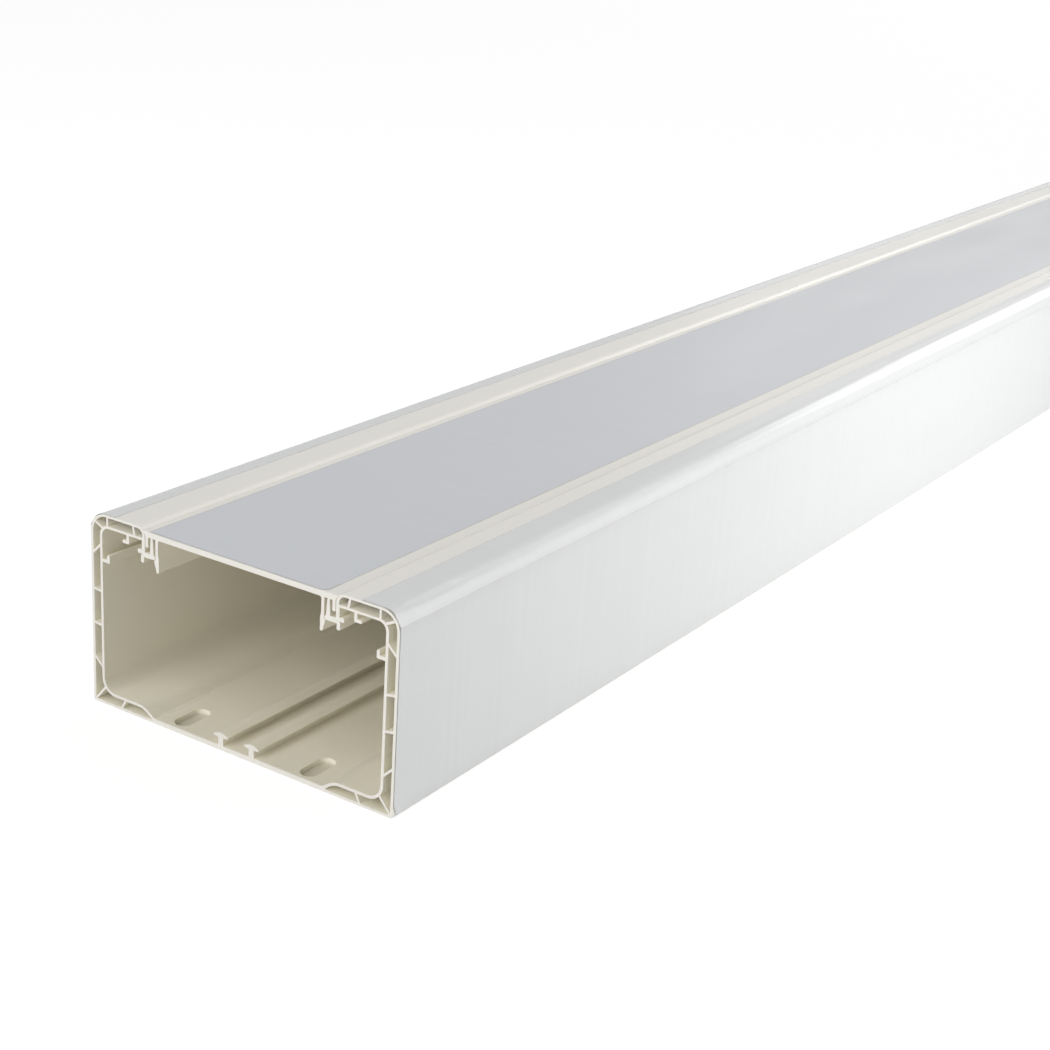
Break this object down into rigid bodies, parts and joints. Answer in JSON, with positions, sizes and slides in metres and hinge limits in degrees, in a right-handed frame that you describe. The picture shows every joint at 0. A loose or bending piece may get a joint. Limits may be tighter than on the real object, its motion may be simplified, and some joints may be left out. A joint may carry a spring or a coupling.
{
  "type": "cord cover raceway",
  "caption": "Stock length of twin-walled white plastic raceway for cords, with a clip-in flat lid, fixing slots in its back and protective film on its visible faces.",
  "frame": {"origin": "centre of the flat back that goes against the wall", "axes": "+X along the length, away from the pictured end; +Y across the width; +Z from the back towards the lid"},
  "size_m": [2, 0.1302, 0.0701],
  "materials": {
    "body": "satin",
    "lid": "satin",
    "film": "glossy"
  },
  "bodies": {
    "root": {"trunking_base": "body", "trunking_lid": "lid", "lid_film": "film", "side_film_left": "film", "side_film_right": "film"}
  },
  "joints": []
}
